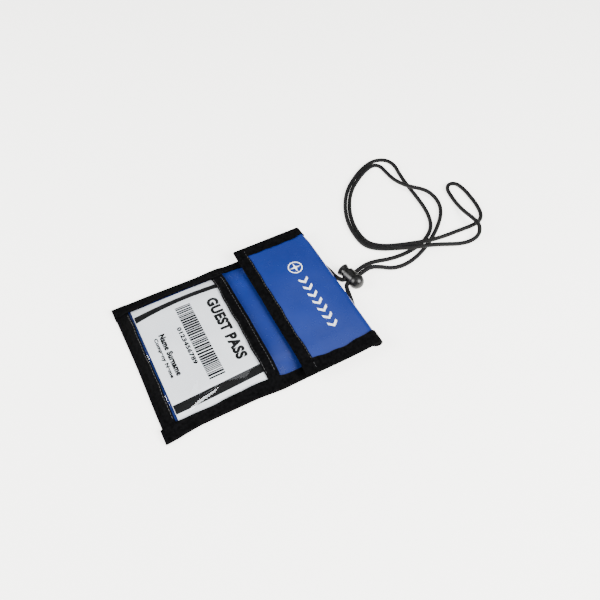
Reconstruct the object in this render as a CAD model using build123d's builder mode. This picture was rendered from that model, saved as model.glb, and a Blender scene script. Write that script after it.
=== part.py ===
"""Neck pouch wallet: a flat vinyl pouch with taped edges, a clear card window, a fold-over
flap, and a braided neck cord doubled through a ball cord lock.

Millimetres. X runs across the pouch, Y from its bottom edge to the flap fold, Z is up. The pouch
lies on its back, so the floor is z = 0, and the origin is the middle of its outline on the floor.
"""
import math
import os

from build123d import *

# ---- driving dimensions ----
BODY_WIDTH = 127.0
BODY_HEIGHT = 174.0
TAPE_WIDTH = 10.5
TAPE = 0.6                      # thickness of one layer of binding tape
VINYL = 0.6                     # thickness of the coloured vinyl
CLEAR = 0.4                     # thickness of the window vinyl
POCKET_GAP = 5.2                # main pocket, between the back and the front panel

FLAP_WIDTH = 134.0
FLAP_FRONT_Y = 22.0
FLAP_TAPE_WIDTH = 10.0
POCKET_MOUTH_Y = 62.0
WINDOW_TOP_Y = 6.5
WINDOW_TAPE_WIDTH = 10.5
HEM_WIDTH = 7.0

CARD_WIDTH = 108.0
CARD_HEIGHT = 76.0
CARD = 0.8
CARD_BOTTOM_Y = -74.5
CARD_LANE_X = 54.5              # above the window the side tapes stop short of the card's path

PATCH_WIDTH = 40.0
PATCH_Y = (36.0, 52.0)

CORD_DIAMETER = 3.8
BALL_RADIUS = 6.5
LOCK_TURN = 13.0                # degrees that the cord through the lock leans left of +Y
LOCK_TRAVEL = 10.0
PLUNGER_TRAVEL = 2.8

# ---- outline ----
HALF_WIDTH = BODY_WIDTH / 2
LOW_Y = -BODY_HEIGHT / 2
HIGH_Y = BODY_HEIGHT / 2
PANEL_HALF = HALF_WIDTH - TAPE
PANEL_LOW_Y = LOW_Y + TAPE
TAPE_IN_X = HALF_WIDTH - TAPE_WIDTH
TAPE_IN_Y = LOW_Y + TAPE_WIDTH

# ---- heights of the layers: flat in the middle, sloping down to a low rim ----
BACK_Z = TAPE
LOOSE = 0.3                     # air between pieces that only lie on each other
FRONT_Z = BACK_Z + VINYL + POCKET_GAP
CARD_Z = FRONT_Z + VINYL + LOOSE
WINDOW_Z = CARD_Z + CARD + LOOSE + TAPE
FRONT_COVER_Z = FRONT_Z + VINYL
WINDOW_COVER_Z = WINDOW_Z + CLEAR
RIM_DROP = POCKET_GAP
SLOPE_X = (40.0, 61.0)          # the slope's distances from the middle line
SLOPE_Y = (-75.0, -83.5)

# ---- fold at the top of the back ----
RISE_Y = (71.0, 77.0)           # the back lifts here and the cord passes beneath it
LIFTED_Z = 4.6
PATCH_LOOP = 1.3                # thickness of the loop side of the closure
PATCH_HOOK = 1.9
FLAP_Z = FRONT_Z + VINYL + PATCH_LOOP + LOOSE + PATCH_HOOK
ROLL_Z = (LIFTED_Z + FLAP_Z + VINYL) / 2
ROLL_RADIUS = ROLL_Z - LIFTED_Z
ROLL_Y = HIGH_Y - ROLL_RADIUS - TAPE
FOLD_TAPE_X = (56.0, 66.2)
FOLD_HALF = FOLD_TAPE_X[1] - TAPE


def block(x_range, y_range, z_range):
    """A box between two limits on each axis."""
    width, depth, height = (high - low for low, high in (x_range, y_range, z_range))
    with BuildPart() as solid:
        with BuildSketch(Plane.XY.offset(z_range[0])):
            with Locations(((x_range[0] + x_range[1]) / 2, (y_range[0] + y_range[1]) / 2)):
                Rectangle(width, depth)
        extrude(amount=height)
    return solid.part


def hill(flat_z):
    """Everything under a surface that is flat in the middle and slopes to a low rim."""
    base = -5.0
    rim_z = flat_z - RIM_DROP
    across = [
        (-HALF_WIDTH, base), (HALF_WIDTH, base), (HALF_WIDTH, rim_z), (SLOPE_X[1], rim_z),
        (SLOPE_X[0], flat_z), (-SLOPE_X[0], flat_z), (-SLOPE_X[1], rim_z), (-HALF_WIDTH, rim_z),
    ]
    along = [
        (LOW_Y, base), (HIGH_Y, base), (HIGH_Y, flat_z), (SLOPE_Y[0], flat_z),
        (SLOPE_Y[1], rim_z), (LOW_Y, rim_z),
    ]
    with BuildPart() as solid:
        with BuildSketch(Plane.XZ.offset(-LOW_Y)):
            with BuildLine():
                Polyline(*across, close=True)
            make_face()
        extrude(amount=LOW_Y - HIGH_Y)
        with BuildSketch(Plane.YZ.offset(-HALF_WIDTH)):
            with BuildLine():
                Polyline(*along, close=True)
            make_face()
        extrude(amount=BODY_WIDTH, mode=Mode.INTERSECT)
    return solid.part


def layer(flat_z, thickness, half_width, y_range):
    """A sheet of even thickness lying on a hill, cut to a rectangle."""
    over = hill(flat_z + thickness)
    under = hill(flat_z)
    outline = block((-half_width, half_width), y_range, (-1, 20))
    with BuildPart() as solid:
        add(over)
        add(under, mode=Mode.SUBTRACT)
        add(outline, mode=Mode.INTERSECT)
    return solid.part


def back_strip(x_range, from_y, under, thickness):
    """A strip along the back from a height above the floor side, rising to the fold."""
    low_z = BACK_Z + under
    high_z = LIFTED_Z + under
    low_line = [(from_y, low_z), (RISE_Y[0], low_z), (RISE_Y[1], high_z), (ROLL_Y, high_z)]
    top_line = [(y, z + thickness) for y, z in reversed(low_line)]
    with BuildPart() as solid:
        with BuildSketch(Plane.YZ.offset(x_range[0])):
            with BuildLine():
                Polyline(*low_line, *top_line, close=True)
            make_face()
        extrude(amount=x_range[1] - x_range[0])
    return solid.part


def fold_ring(x_range, inner, outer):
    """Half a ring round the fold, from the lifted back over to the flap."""
    with BuildPart() as solid:
        with BuildSketch(Plane.YZ.offset(x_range[0])):
            with Locations((ROLL_Y, ROLL_Z)):
                Circle(outer)
                Circle(inner, mode=Mode.SUBTRACT)
            with Locations((ROLL_Y + outer, ROLL_Z)):
                Rectangle(2 * outer, 2 * outer, mode=Mode.INTERSECT)
        extrude(amount=x_range[1] - x_range[0])
    return solid.part


def across_both(side, inner_x, outer_x):
    """The X range of a strip on the left (-1) or right (1) side."""
    return (-outer_x, -inner_x) if side < 0 else (inner_x, outer_x)


def save(piece, name):
    """Label a finished piece and write it."""
    piece.part.label = name
    export_step(piece.part, f"parts/{name}.step")


os.makedirs("parts", exist_ok=True)

# ---- pouch panels ----
with BuildPart() as back_panel:
    add(back_strip((-PANEL_HALF, PANEL_HALF), PANEL_LOW_Y, 0, VINYL))
save(back_panel, "back_panel")

front_sheet = layer(FRONT_Z, VINYL, PANEL_HALF, (PANEL_LOW_Y, POCKET_MOUTH_Y - TAPE))
with BuildPart() as front_panel:
    add(front_sheet)
save(front_panel, "front_panel")

clear_sheet = layer(WINDOW_Z, CLEAR, PANEL_HALF, (PANEL_LOW_Y, WINDOW_TOP_Y - TAPE))
with BuildPart() as window_sheet:
    add(clear_sheet)
save(window_sheet, "window_sheet")

# ---- tapes folded over the two free edges on the front ----
def edge_tape(top_y, depth, sheet_z, sheet):
    """A tape folded over a sheet's free top edge, between the side bindings."""
    whole = layer(sheet_z - TAPE, sheet + 2 * TAPE, TAPE_IN_X, (top_y - depth, top_y))
    room = layer(sheet_z, sheet, TAPE_IN_X, (top_y - depth, top_y - TAPE))
    with BuildPart() as solid:
        add(whole)
        add(room, mode=Mode.SUBTRACT)
    return solid.part


window_edge = edge_tape(WINDOW_TOP_Y, WINDOW_TAPE_WIDTH, WINDOW_Z, CLEAR)
with BuildPart() as window_top_tape:
    add(window_edge)
save(window_top_tape, "window_top_tape")

pocket_edge = edge_tape(POCKET_MOUTH_Y, HEM_WIDTH, FRONT_Z, VINYL)
with BuildPart() as pocket_hem_tape:
    add(pocket_edge)
save(pocket_hem_tape, "pocket_hem_tape")

# ---- binding tape folded over the pouch's edges ----
window_cover = layer(WINDOW_COVER_Z, TAPE, HALF_WIDTH, (LOW_Y, WINDOW_TOP_Y))
front_cover = layer(FRONT_COVER_Z, TAPE, HALF_WIDTH, (WINDOW_TOP_Y, POCKET_MOUTH_Y))
window_rim_z = WINDOW_COVER_Z - RIM_DROP
front_rim_z = FRONT_COVER_Z - RIM_DROP

bottom_y = (LOW_Y, TAPE_IN_Y)
bottom_region = block((-HALF_WIDTH, HALF_WIDTH), bottom_y, (0, 20))
bottom_rim = block((-HALF_WIDTH, HALF_WIDTH), bottom_y, (0, window_rim_z))
bottom_room = block((-PANEL_HALF, PANEL_HALF), (PANEL_LOW_Y, TAPE_IN_Y), (TAPE, window_rim_z))
with BuildPart() as bottom_binding_tape:
    add(window_cover)
    add(bottom_region, mode=Mode.INTERSECT)
    add(bottom_rim)
    add(bottom_room, mode=Mode.SUBTRACT)
save(bottom_binding_tape, "bottom_binding_tape")


def side_tape(side):
    """Binding along one side, round the window, the front panel and then the back alone."""
    wide = across_both(side, TAPE_IN_X, HALF_WIDTH)
    beside_card = across_both(side, CARD_LANE_X, HALF_WIDTH)
    edge = across_both(side, PANEL_HALF, HALF_WIDTH)
    window_region = block(wide, (TAPE_IN_Y, WINDOW_TOP_Y), (0, 20))
    window_rim = block(edge, (TAPE_IN_Y, WINDOW_TOP_Y), (TAPE, window_rim_z))
    front_region = block(beside_card, (WINDOW_TOP_Y, POCKET_MOUTH_Y), (0, 20))
    front_rim = block(edge, (WINDOW_TOP_Y, POCKET_MOUTH_Y), (TAPE, front_rim_z))
    under = back_strip(wide, TAPE_IN_Y, -TAPE, TAPE)
    back_rim = back_strip(edge, POCKET_MOUTH_Y, 0, VINYL)
    over = back_strip(wide, POCKET_MOUTH_Y - TAPE, VINYL, TAPE)
    with BuildPart() as on_window:
        add(window_cover)
        add(window_region, mode=Mode.INTERSECT)
    with BuildPart() as on_front:
        add(front_cover)
        add(front_region, mode=Mode.INTERSECT)
    with BuildPart() as solid:
        add([on_window.part, on_front.part, window_rim, front_rim, under, back_rim, over])
    return solid.part


left_tape = side_tape(-1)
with BuildPart() as left_binding_tape:
    add(left_tape)
save(left_binding_tape, "left_binding_tape")

right_tape = side_tape(1)
with BuildPart() as right_binding_tape:
    add(right_tape)
save(right_binding_tape, "right_binding_tape")

# ---- fold between the back and the flap ----
with BuildPart() as fold_strip:
    add(fold_ring((-FOLD_HALF, FOLD_HALF), ROLL_RADIUS - VINYL, ROLL_RADIUS))
save(fold_strip, "fold_strip")


def fold_tape(side):
    """Binding round one end of the fold."""
    wide = across_both(side, FOLD_TAPE_X[0], FOLD_TAPE_X[1])
    edge = across_both(side, FOLD_TAPE_X[1] - TAPE, FOLD_TAPE_X[1])
    outer = fold_ring(wide, ROLL_RADIUS, ROLL_RADIUS + TAPE)
    inner = fold_ring(wide, ROLL_RADIUS - VINYL - TAPE, ROLL_RADIUS - VINYL)
    joined = fold_ring(edge, ROLL_RADIUS - VINYL, ROLL_RADIUS)
    with BuildPart() as solid:
        add(outer)
        add(inner)
        add(joined)
    return solid.part


left_ring = fold_tape(-1)
with BuildPart() as left_fold_tape:
    add(left_ring)
save(left_fold_tape, "left_fold_tape")

right_ring = fold_tape(1)
with BuildPart() as right_fold_tape:
    add(right_ring)
save(right_fold_tape, "right_fold_tape")

# ---- flap ----
FLAP_HALF = FLAP_WIDTH / 2
FLAP_TAPE_Z = (FLAP_Z - TAPE, FLAP_Z + VINYL + TAPE)
FLAP_BAND_Y = FLAP_FRONT_Y + FLAP_TAPE_WIDTH

flap_sheet = block(
    (-FLAP_HALF + TAPE, FLAP_HALF - TAPE), (FLAP_FRONT_Y + TAPE, ROLL_Y), (FLAP_Z, FLAP_Z + VINYL)
)
with BuildPart() as flap_panel:
    add(flap_sheet)
save(flap_panel, "flap_panel")

front_whole = block((-FLAP_HALF, FLAP_HALF), (FLAP_FRONT_Y, FLAP_BAND_Y), FLAP_TAPE_Z)
with BuildPart() as flap_front_tape:
    add(front_whole)
    add(flap_sheet, mode=Mode.SUBTRACT)
save(flap_front_tape, "flap_front_tape")

left_whole = block(
    across_both(-1, FLAP_HALF - FLAP_TAPE_WIDTH, FLAP_HALF), (FLAP_BAND_Y, ROLL_Y), FLAP_TAPE_Z
)
with BuildPart() as flap_left_tape:
    add(left_whole)
    add(flap_sheet, mode=Mode.SUBTRACT)
save(flap_left_tape, "flap_left_tape")

right_whole = block(
    across_both(1, FLAP_HALF - FLAP_TAPE_WIDTH, FLAP_HALF), (FLAP_BAND_Y, ROLL_Y), FLAP_TAPE_Z
)
with BuildPart() as flap_right_tape:
    add(right_whole)
    add(flap_sheet, mode=Mode.SUBTRACT)
save(flap_right_tape, "flap_right_tape")

# ---- hook and loop closure ----
LOOP_TOP_Z = FRONT_Z + VINYL + PATCH_LOOP
patch_x = (-PATCH_WIDTH / 2, PATCH_WIDTH / 2)

with BuildPart() as loop_patch:
    add(block(patch_x, PATCH_Y, (FRONT_Z + VINYL, LOOP_TOP_Z)))
save(loop_patch, "loop_patch")

with BuildPart() as hook_patch:
    add(block(patch_x, PATCH_Y, (LOOP_TOP_Z + LOOSE, FLAP_Z)))
save(hook_patch, "hook_patch")

# ---- insert card ----
card_y = (CARD_BOTTOM_Y, CARD_BOTTOM_Y + CARD_HEIGHT)
card_sheet = layer(CARD_Z, CARD, CARD_WIDTH / 2, card_y)
with BuildPart() as insert_card:
    add(card_sheet)
save(insert_card, "insert_card")

# ---- tabs that hold the cord's ends under the back's top corners ----
TAB_X = (50.0, 61.0)
TAB_Y = (77.5, 83.5)
TAB_Z = (0, LIFTED_Z - TAPE)

with BuildPart() as left_cord_tab:
    add(block(across_both(-1, *TAB_X), TAB_Y, TAB_Z))
save(left_cord_tab, "left_cord_tab")

with BuildPart() as right_cord_tab:
    add(block(across_both(1, *TAB_X), TAB_Y, TAB_Z))
save(right_cord_tab, "right_cord_tab")

# ---- cord lock: a ball and drum with a sprung plunger, both slotted for two strands ----
BALL_CENTRE = Vector(6.4, 101.7, BALL_RADIUS)
turn = math.radians(LOCK_TURN)
plunger_way = Vector(-math.cos(turn), -math.sin(turn), 0)
cord_way = Vector(-math.sin(turn), math.cos(turn), 0)
SLOT_FROM_BALL = 5.5
slot_centre = BALL_CENTRE + plunger_way * SLOT_FROM_BALL
lock_plane = Plane(origin=slot_centre, x_dir=plunger_way, z_dir=cord_way)
lock_axis = Axis(slot_centre, plunger_way)

DRUM_RADIUS = 6.0
DRUM_END = 5.6                  # positions along the lock's axis, from the slot's middle
BORE_RADIUS = 4.9
BORE_FLOOR = -8.2
SPRING_RADIUS = 2.3
SPRING_FLOOR = -10.4
STRAND_OFFSET = 2.15
CLEARANCE = 0.3
slot_half = STRAND_OFFSET + CORD_DIAMETER / 2 + CLEARANCE
slot_height = CORD_DIAMETER + 2 * CLEARANCE
ball_u = -SLOT_FROM_BALL
drum_start = ball_u + math.sqrt(BALL_RADIUS**2 - DRUM_RADIUS**2)

with BuildPart() as lock_body:
    with BuildSketch(lock_plane):
        with BuildLine():
            ThreePointArc((ball_u - BALL_RADIUS, 0), (ball_u, BALL_RADIUS), (drum_start, DRUM_RADIUS))
            Polyline(
                (drum_start, DRUM_RADIUS), (DRUM_END - 0.5, DRUM_RADIUS),
                (DRUM_END, DRUM_RADIUS - 0.5), (DRUM_END, BORE_RADIUS), (BORE_FLOOR, BORE_RADIUS),
                (BORE_FLOOR, SPRING_RADIUS + CLEARANCE), (SPRING_FLOOR, SPRING_RADIUS + CLEARANCE),
                (SPRING_FLOOR, 0), (ball_u - BALL_RADIUS, 0),
            )
        make_face()
    revolve(axis=lock_axis)
    with BuildSketch(lock_plane):
        Rectangle(2 * slot_half, slot_height)
    extrude(amount=2 * BALL_RADIUS, both=True, mode=Mode.SUBTRACT)
save(lock_body, "lock_body")

STEM_RADIUS = BORE_RADIUS - CLEARANCE
STEM_START = -5.2
CAP_START = DRUM_END + PLUNGER_TRAVEL + 0.4
CAP_END = 11.9
CAP_RADIUS = 5.7

with BuildPart() as lock_plunger:
    with BuildSketch(lock_plane):
        with BuildLine():
            Polyline(
                (STEM_START, 0), (STEM_START, STEM_RADIUS), (CAP_START, STEM_RADIUS),
                (CAP_START, CAP_RADIUS - 0.9), (CAP_END - 0.6, CAP_RADIUS),
                (CAP_END, CAP_RADIUS - 0.6), (CAP_END, 0), close=True,
            )
        make_face()
    revolve(axis=lock_axis)
    with BuildSketch(lock_plane):
        with Locations((PLUNGER_TRAVEL / 2 + 0.1, 0)):
            Rectangle(2 * slot_half + PLUNGER_TRAVEL + 0.2, slot_height)
    extrude(amount=2 * BALL_RADIUS, both=True, mode=Mode.SUBTRACT)
save(lock_plunger, "lock_plunger")

WIRE_RADIUS = 0.3
SPRING_TURNS = 4
spring_length = STEM_START - SPRING_FLOOR - 2 * WIRE_RADIUS - 0.2
spring_start = slot_centre + plunger_way * (SPRING_FLOOR + WIRE_RADIUS + 0.1)
coil_radius = SPRING_RADIUS - WIRE_RADIUS
with BuildPart() as lock_spring:
    with BuildLine():
        coil = Helix(
            pitch=spring_length / SPRING_TURNS, height=spring_length, radius=coil_radius,
            center=spring_start, direction=plunger_way,
        )
    with BuildSketch(Plane(origin=coil @ 0, z_dir=coil % 0)):
        Circle(WIRE_RADIUS)
    sweep()
save(lock_spring, "lock_spring")

# ---- neck cord: one length from the left tab, through the lock, round and back ----
def on_strand(side, distance):
    """A point on a strand's straight line through the lock, by distance from the slot."""
    point = slot_centre + plunger_way * (-side * STRAND_OFFSET) + cord_way * distance
    return (point.X, point.Y, point.Z)


BEFORE_LOCK = -7.6
PAST_LOCK = BALL_RADIUS + LOCK_TRAVEL + 1.3

from_left_tab = [
    (-50.0, 80.5, 1.9), (-43.5, 80.5, 1.9), (-36.5, 83.0, 1.9), (-28.5, 86.3, 2.2),
    (-21.0, 88.2, 3.1), (-14.5, 88.9, 4.3), (-9.4, 88.9, 5.4), (-4.2, 89.7, 6.2),
    on_strand(-1, BEFORE_LOCK), on_strand(-1, PAST_LOCK),
]
outer_strand = [
    (-5.0, 130.0, 4.6), (-3.4, 142.5, 1.9), (-2.2, 156.0, 1.9), (-3.6, 170.0, 1.9),
    (-8.2, 184.0, 1.9), (-17.5, 196.5, 1.9), (-33.0, 203.3, 1.9), (-52.0, 206.0, 1.9),
    (-71.0, 207.0, 1.9), (-88.0, 209.0, 1.9), (-102.5, 212.3, 1.9), (-113.0, 208.5, 1.9),
    (-117.3, 196.5, 1.9), (-113.0, 181.5, 1.9), (-104.8, 167.0, 1.9), (-94.0, 153.0, 1.9),
    (-78.5, 141.0, 1.9), (-59.5, 132.3, 1.9), (-40.5, 129.3, 1.9), (-25.5, 131.0, 1.9),
    (-14.5, 140.5, 4.6), (-6.5, 150.5, 8.6), (-0.2, 165.0, 8.6), (4.6, 180.0, 8.6),
    (7.8, 194.0, 4.9), (11.2, 206.5, 2.0), (13.2, 217.0, 1.9), (12.2, 226.5, 4.4),
    (5.0, 231.4, 8.6), (-6.0, 230.6, 8.6), (-17.5, 231.8, 4.8), (-30.0, 234.0, 1.9),
]
tip = [
    (-42.0, 235.6, 1.9), (-51.0, 238.0, 1.9), (-55.2, 243.6, 1.9), (-52.5, 250.2, 1.9),
    (-42.5, 251.8, 1.9), (-31.0, 251.0, 1.9),
]
inner_strand = [
    (-19.0, 249.4, 1.9), (-8.0, 245.6, 1.9), (-2.0, 238.0, 1.9), (-1.4, 227.5, 1.9),
    (-2.2, 215.5, 1.9), (-2.4, 204.5, 2.1), (-1.2, 193.0, 5.2), (-0.6, 181.0, 8.6),
    (-4.7, 166.2, 8.6), (-10.6, 152.2, 7.2), (-17.8, 143.2, 3.9), (-27.4, 135.2, 1.9),
    (-40.4, 133.8, 1.9), (-58.2, 136.7, 1.9), (-76.3, 144.9, 1.9), (-91.0, 156.4, 1.9),
    (-101.0, 169.6, 1.9), (-108.6, 183.2, 1.9), (-112.0, 193.8, 1.9), (-107.5, 198.8, 1.9),
    (-98.0, 199.2, 1.9), (-86.0, 199.6, 2.3), (-74.0, 201.0, 5.4), (-64.0, 204.0, 8.6),
    (-57.5, 210.8, 8.6), (-53.0, 217.4, 5.6), (-45.5, 220.8, 2.4), (-35.5, 219.0, 1.9),
    (-25.5, 212.6, 1.9), (-15.2, 201.5, 1.9), (-5.2, 187.0, 1.9), (1.6, 174.0, 1.9),
    (6.2, 161.5, 1.9), (8.2, 149.5, 1.9), (6.6, 138.0, 2.5), (1.6, 128.6, 4.9),
]
to_right_tab = [
    on_strand(1, PAST_LOCK), on_strand(1, BEFORE_LOCK), (7.8, 91.2, 6.3), (14.4, 90.2, 4.7),
    (21.5, 88.9, 3.1), (29.0, 86.3, 2.2), (36.5, 82.9, 1.9), (43.5, 80.5, 1.9), (50.0, 80.5, 1.9),
]
route = [Vector(*point) for point in (
    from_left_tab + outer_strand + tip + inner_strand + to_right_tab
)]

radii = []
for before, corner, after in zip(route, route[1:], route[2:]):
    shorter = min((corner - before).length, (after - corner).length)
    half_turn = math.radians((corner - before).get_angle(after - corner)) / 2
    radii.append(0.45 * shorter / math.tan(half_turn))

with BuildPart() as neck_cord:
    with BuildLine() as cord_line:
        FilletPolyline(*route, radius=radii)
    with BuildSketch(Plane(origin=route[0], z_dir=route[1] - route[0])):
        Circle(CORD_DIAMETER / 2)
    sweep()
save(neck_cord, "neck_cord")

section = math.pi * CORD_DIAMETER**2 / 4
cord_length = sum(edge.length for edge in cord_line.edges())
print("cord radii:", " ".join(f"{radius:.1f}" for radius in radii))
print(f"cord length {cord_length:.1f} mm in {len(route)} points, "
      f"volume {neck_cord.part.volume:.1f} mm3, section x length {section * cord_length:.1f} mm3")
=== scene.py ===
import math

import bmesh
import bpy
import numpy as np
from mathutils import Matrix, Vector


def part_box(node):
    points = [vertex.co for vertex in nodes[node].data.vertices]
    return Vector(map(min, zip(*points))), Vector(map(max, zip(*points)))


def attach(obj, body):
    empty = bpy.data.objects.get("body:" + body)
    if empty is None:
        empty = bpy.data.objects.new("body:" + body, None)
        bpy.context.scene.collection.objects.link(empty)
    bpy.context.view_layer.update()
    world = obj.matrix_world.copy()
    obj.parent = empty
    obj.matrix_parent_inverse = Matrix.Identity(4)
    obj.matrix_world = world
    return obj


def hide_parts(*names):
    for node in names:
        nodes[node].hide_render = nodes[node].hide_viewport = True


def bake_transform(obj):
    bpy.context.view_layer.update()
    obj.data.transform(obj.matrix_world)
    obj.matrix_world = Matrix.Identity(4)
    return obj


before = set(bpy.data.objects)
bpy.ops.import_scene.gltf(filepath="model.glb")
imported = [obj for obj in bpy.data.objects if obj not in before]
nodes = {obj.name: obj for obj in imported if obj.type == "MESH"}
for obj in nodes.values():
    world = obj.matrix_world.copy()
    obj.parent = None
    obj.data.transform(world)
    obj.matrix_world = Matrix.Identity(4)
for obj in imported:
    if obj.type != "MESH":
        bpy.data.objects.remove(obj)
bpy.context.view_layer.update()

MM = 0.001


def box_mm(node):
    """A CAD node's lowest and highest corners in millimetres."""
    low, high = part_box(node)
    return np.array(low) / MM, np.array(high) / MM


# ---------------------------------------------------------------- sizes from the frame, in mm
HALF = box_mm("right_binding_tape")[1][0]
TAPE_IN_X = box_mm("right_binding_tape")[0][0]
LOW_Y = box_mm("bottom_binding_tape")[0][1]
TAPE_IN_Y = box_mm("bottom_binding_tape")[1][1]
WINDOW_TAPE_Y, WINDOW_TOP_Y = (corner[1] for corner in box_mm("window_top_tape"))
HEM_Y, MOUTH_Y = (corner[1] for corner in box_mm("pocket_hem_tape"))
FLAP_FRONT_Y, FLAP_BAND_Y = (corner[1] for corner in box_mm("flap_front_tape"))
FLAP_HALF = box_mm("flap_front_tape")[1][0]
CARD_LOW, CARD_HIGH = box_mm("insert_card")
FOLD_LOW, FOLD_HIGH = box_mm("fold_strip")
ROLL_Y = FOLD_LOW[1]
ROLL_Z = (FOLD_LOW[2] + FOLD_HIGH[2]) / 2
LIFTED_Z = FOLD_LOW[2]
TAPE = 0.55
VINYL = 0.5

# ---------------------------------------------------------------- camera
CAMERA_TURN, CAMERA_TILT = math.radians(61.86), math.radians(54.55)
CAMERA_AIM = Vector((-2.94, 53.4, 0)) * MM
CAMERA_DISTANCE = 484.1 * MM
FOCAL_PIXELS, PHOTO_PIXELS = 584.0, 600
view_back = Vector((
    math.sin(CAMERA_TURN) * math.cos(CAMERA_TILT),
    -math.cos(CAMERA_TURN) * math.cos(CAMERA_TILT),
    math.sin(CAMERA_TILT),
))
camera = bpy.data.objects.new("camera", bpy.data.cameras.new("camera"))
bpy.context.scene.collection.objects.link(camera)
camera.location = CAMERA_AIM + view_back * CAMERA_DISTANCE
camera.rotation_euler = (-view_back).to_track_quat("-Z", "Y").to_euler()
camera.data.sensor_width = 36
camera.data.lens = 36 * FOCAL_PIXELS / PHOTO_PIXELS
camera.data.clip_start = 0.01
bpy.context.scene.camera = camera


# ---------------------------------------------------------------- materials
class Nodes:
    """A material's node tree, with short calls for the nodes that the finishes share."""

    def __init__(self, name, color, roughness, **sockets):
        self.material = bpy.data.materials.new(name)
        self.material.use_nodes = True
        self.tree = self.material.node_tree
        self.shader = self.tree.nodes["Principled BSDF"]
        self.set(Base_Color=(*color, 1), Roughness=roughness, **sockets)

    def set(self, **sockets):
        """Set the shader's sockets; an underscore in a name stands for a space."""
        for name, value in sockets.items():
            self.shader.inputs[name.replace("_", " ")].default_value = value

    def add(self, kind, links=None, **values):
        """A new node with values on its attributes or inputs, and links into its inputs."""
        node = self.tree.nodes.new("ShaderNode" + kind)
        for name, value in values.items():
            if hasattr(node, name):
                setattr(node, name, value)
            else:
                node.inputs[name.replace("_", " ")].default_value = value
        for socket, source in (links or {}).items():
            self.tree.links.new(source, node.inputs[socket])
        return node

    def link(self, source, socket):
        self.tree.links.new(source, self.shader.inputs[socket])

    def place(self, scale=(1, 1, 1), turn=0.0, uv=False):
        """Coordinates in mm: along and across a tape where uv is true, else in space."""
        source = self.add("TexCoord").outputs["UV" if uv else "Object"]
        unit = 1000.0 if not uv else 1.0
        mapping = self.add("Mapping", {"Vector": source})
        mapping.inputs["Scale"].default_value = [unit * s for s in scale]
        mapping.inputs["Rotation"].default_value[2] = turn
        return mapping.outputs[0]

    def noise(self, place, size, detail=3.0, roughness=0.5):
        """Noise with features about size mm across."""
        node = self.add("TexNoise", {"Vector": place}, Scale=1 / size, Detail=detail)
        node.inputs["Roughness"].default_value = roughness
        return node.outputs["Fac"]

    def stripes(self, place, size, direction="X", distortion=0.0):
        """Soft parallel ridges, size mm from one to the next."""
        node = self.add("TexWave", {"Vector": place}, bands_direction=direction)
        node.inputs["Scale"].default_value = math.pi / 10 / size
        node.inputs["Distortion"].default_value = distortion
        return node.outputs["Fac"]

    def ramp(self, factor, *stops):
        """Values or colours by factor: pairs of position and grey level or colour."""
        node = self.add("ValToRGB", {"Fac": factor})
        points = node.color_ramp.elements
        while len(points) < len(stops):
            points.new(0.5)
        for point, (position, value) in zip(points, stops):
            point.position = position
            point.color = (*value, 1) if isinstance(value, tuple) else (value, value, value, 1)
        return node.outputs["Color"]

    def math(self, operation, first, second):
        node = self.add("Math", operation=operation)
        for socket, value in zip(node.inputs, (first, second)):
            if isinstance(value, (int, float)):
                socket.default_value = value
            else:
                self.tree.links.new(value, socket)
        return node.outputs[0]

    def bump(self, *layers):
        """Stack bumps on the shader's normal: pairs of height factor and depth in mm."""
        normal = None
        for height, depth in layers:
            links = {"Height": height}
            if normal:
                links["Normal"] = normal
            normal = self.add("Bump", links, Strength=1.0, Distance=depth * MM).outputs[0]
        self.link(normal, "Normal")


def dyed_vinyl():
    """Glossy royal-blue sheet: soft lumps, a fine grain and scuffs in its gloss."""
    m = Nodes("blue_vinyl", (0.01, 0.036, 0.27), 0.24, Specular_IOR_Level=0.5)
    place = m.place()
    clouds = m.noise(place, 45, 2.0)
    m.link(m.ramp(clouds, (0.3, (0.006, 0.017, 0.12)), (0.7, (0.008, 0.023, 0.16))), "Base Color")
    scuffs = m.noise(place, 6, 3.0)
    m.link(m.ramp(scuffs, (0.35, 0.22), (0.75, 0.3)), "Roughness")
    m.bump((m.noise(place, 22, 0.0), 0.5), (m.noise(place, 1.2, 0.0), 0.003))
    return m.material


def woven_tape():
    """Black binding: fine ribs across its length and faint lint."""
    m = Nodes("black_binding", (0.002, 0.002, 0.002), 0.85, Specular_IOR_Level=0.02)
    place, along = m.place(), m.place(uv=True)
    lint = m.noise(place, 2.2, 5.0, 0.7)
    m.link(m.ramp(lint, (0.35, (0.0007, 0.0007, 0.0008)), (0.8, (0.005, 0.005, 0.0055))), "Base Color")
    ribs = m.stripes(along, 0.8, "X", 0.6)
    threads = m.stripes(along, 0.45, "Y", 0.4)
    weave = m.math("MAXIMUM", ribs, m.math("MULTIPLY", threads, 0.7))
    m.bump((m.noise(place, 5, 2.0), 0.25), (weave, 0.12))
    return m.material


def clear_vinyl():
    """Clear glossy film: it reflects by its angle and lets the rest through."""
    m = Nodes("clear_vinyl", (0.9, 0.92, 0.94), 0.07, Specular_IOR_Level=0.5)
    place = m.place()
    m.link(m.ramp(m.noise(place, 12, 4.0, 0.6), (0.4, 0.05), (0.8, 0.14)), "Roughness")
    m.bump((m.noise(place, 14, 1.0), 0.18), (m.noise(place, 3, 1.0), 0.01))
    facing = m.add("LayerWeight", Blend=0.5).outputs["Facing"]
    gloss = m.math("ADD", 0.05, m.math("MULTIPLY", 0.95, m.math("POWER", facing, 5)))
    clear = m.add("BsdfTransparent", Color=(0.97, 0.98, 0.99, 1)).outputs[0]
    mix = m.add("MixShader", {0: gloss, 1: clear, 2: m.shader.outputs[0]})
    m.set(Metallic=1.0)
    m.tree.links.new(mix.outputs[0], m.tree.nodes["Material Output"].inputs[0])
    return m.material


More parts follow.
